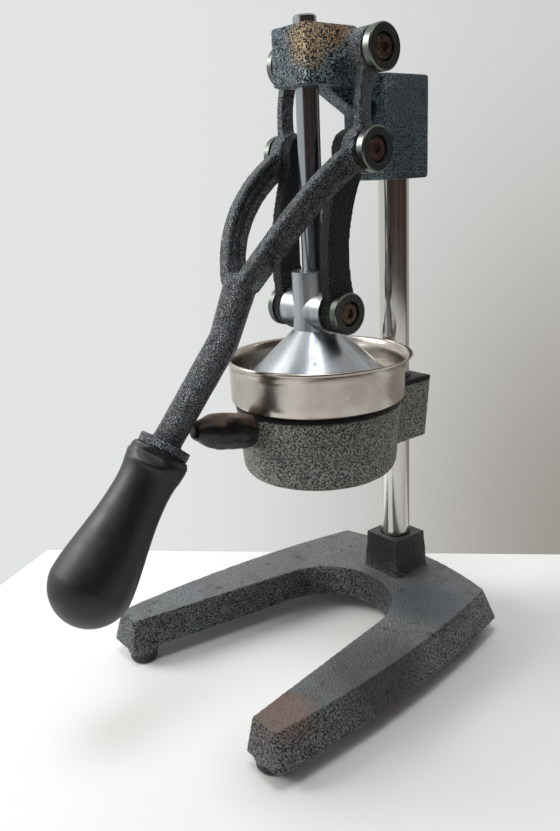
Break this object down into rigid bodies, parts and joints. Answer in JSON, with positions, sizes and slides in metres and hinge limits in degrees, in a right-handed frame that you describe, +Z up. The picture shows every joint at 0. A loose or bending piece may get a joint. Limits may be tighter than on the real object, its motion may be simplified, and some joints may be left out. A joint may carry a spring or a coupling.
{
  "type": "lever citrus juice press",
  "caption": "Free-standing lever press: a forked handle and links drive an aluminium cone down a chrome rod into a bowl held over a U-shaped cast base.",
  "frame": {"origin": "on the surface that the feet stand on, under the middle of the footprint's bounding box", "axes": "+Z up; -Y to the front, where the grip is; +X to the right as seen from the front"},
  "size_m": [0.2036, 0.3219, 0.436],
  "materials": {
    "casting_paint": "grey hammertone enamel, worn",
    "chrome": "polished, with light rust",
    "spun_aluminium": "satin, spun",
    "cast_aluminium": "smooth, turned",
    "foot_rubber": "matte",
    "grip_rubber": "semi-gloss",
    "bumper_rubber": "worn, shiny",
    "washer_steel": "zinc plated, dark face",
    "screw_steel": "rusty",
    "zinc_steel": "zinc plated"
  },
  "bodies": {
    "frame": {"base_casting": "casting_paint", "foot_front_left": "foot_rubber", "foot_front_right": "foot_rubber", "foot_rear_left": "foot_rubber", "foot_rear_right": "foot_rubber", "foot_screws": "zinc_steel", "column": "chrome", "column_washer": "zinc_steel", "column_bolt": "zinc_steel", "head_casting": "casting_paint", "head_set_screw": "zinc_steel", "cup_holder": "casting_paint", "holder_set_screw": "zinc_steel", "bowl": "spun_aluminium", "strainer_cone": "cast_aluminium", "bumper": "bumper_rubber", "bumper_screw": "zinc_steel", "head_pivot_washer_left": "washer_steel", "head_pivot_washer_right": "washer_steel", "head_pivot_screw_left": "screw_steel", "head_pivot_screw_right": "screw_steel"},
    "handle": {"handle_casting": "casting_paint", "grip": "grip_rubber", "fork_pivot_washer_left": "washer_steel", "fork_pivot_washer_right": "washer_steel", "fork_pivot_screw_left": "screw_steel", "fork_pivot_screw_right": "screw_steel"},
    "press": {"press_cone": "cast_aluminium", "press_rod": "chrome", "rod_washer": "zinc_steel", "rod_screw": "zinc_steel", "cone_pivot_washer_left": "washer_steel", "cone_pivot_washer_right": "washer_steel", "cone_pivot_screw_left": "screw_steel", "cone_pivot_screw_right": "screw_steel"},
    "link_left": {"lower_link_left": "casting_paint"},
    "link_right": {"lower_link_right": "casting_paint"}
  },
  "joints": [
    {"name": "handle_hinge", "type": "hinge", "parent": "frame", "child": "handle", "pos_m": [0, 0.06624, 0.413], "axis": [-1, 0, 0], "range_deg": [0, 90]},
    {"name": "press_slide", "type": "slide", "parent": "frame", "child": "press", "axis": [0, 0, 1], "range_m": [0, 0.0697]},
    {"name": "link_left_swing", "type": "hinge", "parent": "press", "child": "link_left", "pos_m": [0, 0.04624, 0.25588], "axis": [1, 0, 0], "range_deg": [0, 29.2]},
    {"name": "link_right_swing", "type": "hinge", "parent": "press", "child": "link_right", "pos_m": [0, 0.04624, 0.25588], "axis": [1, 0, 0], "range_deg": [0, 29.2]}
  ],
  "couplings": [
    {"joint": "press_slide", "follows": "handle_hinge", "m_per_rad": 0.044344},
    {"joint": "link_left_swing", "follows": "handle_hinge", "ratio": 0.32435},
    {"joint": "link_right_swing", "follows": "handle_hinge", "ratio": 0.32435}
  ]
}
